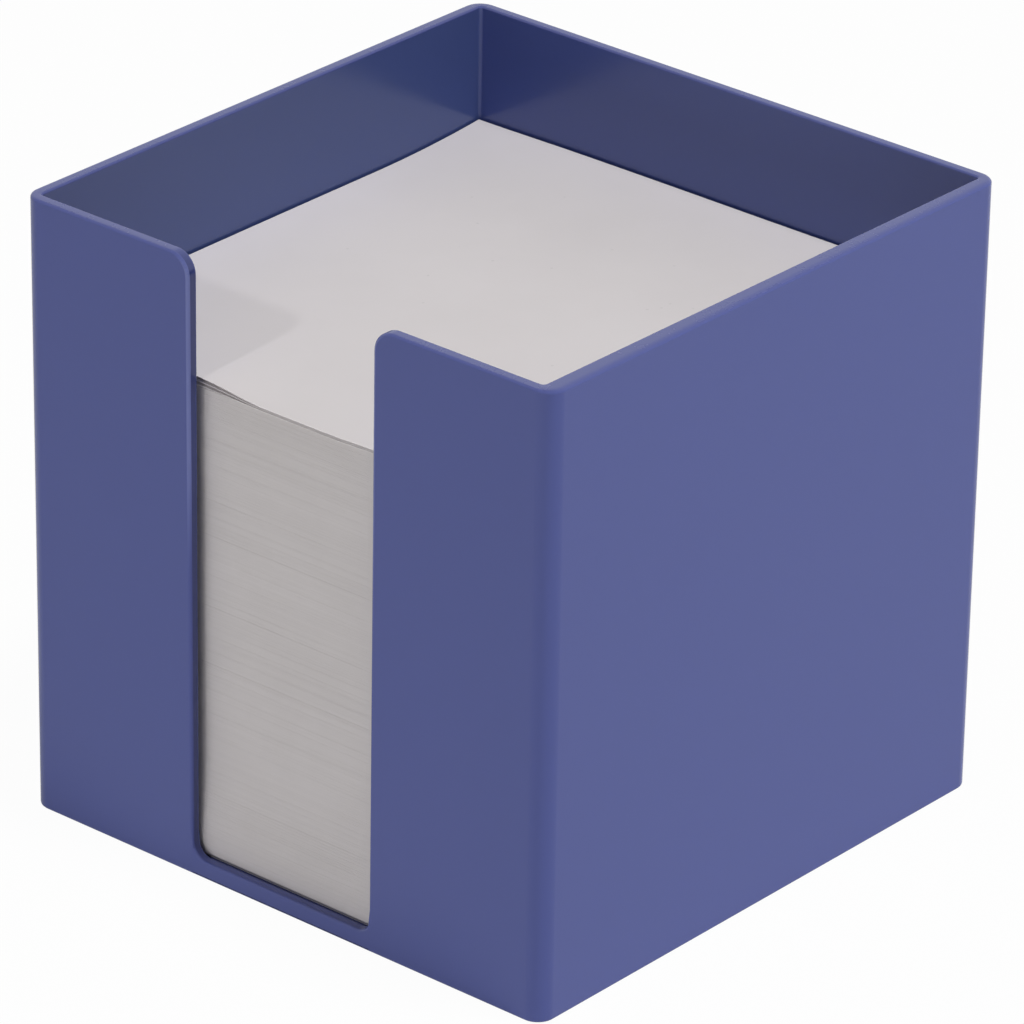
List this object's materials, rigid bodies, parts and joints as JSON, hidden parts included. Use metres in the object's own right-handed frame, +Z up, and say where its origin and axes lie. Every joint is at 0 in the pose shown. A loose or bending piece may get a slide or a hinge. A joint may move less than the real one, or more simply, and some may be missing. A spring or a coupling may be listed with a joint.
{
  "type": "note box with loose sheets",
  "caption": "Open-topped square plastic note box with a tall finger slot in its front wall, holding a stack of loose white note sheets that lift out.",
  "frame": {"origin": "under the middle of the box, on the surface it stands on", "axes": "+Z up, the wall with the finger slot faces -Y, +X to the right seen from the slot"},
  "size_m": [0.0956, 0.0956, 0.0948],
  "materials": {
    "box_plastic": "moulded blue plastic, satin outside, smoother inside",
    "note_paper": "plain uncoated white paper with cut edges"
  },
  "bodies": {
    "note_box": {"note_box": "box_plastic"},
    "paper_stack": {"paper_bundle_01": "note_paper", "paper_bundle_02": "note_paper", "paper_bundle_03": "note_paper", "paper_bundle_04": "note_paper", "paper_bundle_05": "note_paper", "paper_bundle_06": "note_paper", "paper_bundle_07": "note_paper", "paper_bundle_08": "note_paper", "paper_bundle_09": "note_paper", "paper_bundle_10": "note_paper", "paper_bundle_11": "note_paper", "paper_bundle_12": "note_paper", "paper_bundle_13": "note_paper", "paper_bundle_14": "note_paper", "bowed_bundle": "note_paper"},
    "third_sheet": {"third_sheet": "note_paper"},
    "second_sheet": {"second_sheet": "note_paper"},
    "top_sheet": {"top_sheet": "note_paper"}
  },
  "joints": [
    {"name": "paper_stack_lift", "type": "slide", "parent": "note_box", "child": "paper_stack", "axis": [0, 0, 1], "range_m": [0, 0.11]},
    {"name": "third_sheet_lift", "type": "slide", "parent": "paper_stack", "child": "third_sheet", "axis": [0, 0, 1], "range_m": [0, 0.04]},
    {"name": "second_sheet_lift", "type": "slide", "parent": "third_sheet", "child": "second_sheet", "axis": [0, 0, 1], "range_m": [0, 0.04]},
    {"name": "top_sheet_lift", "type": "slide", "parent": "second_sheet", "child": "top_sheet", "axis": [0, 0, 1], "range_m": [0, 0.04]}
  ]
}
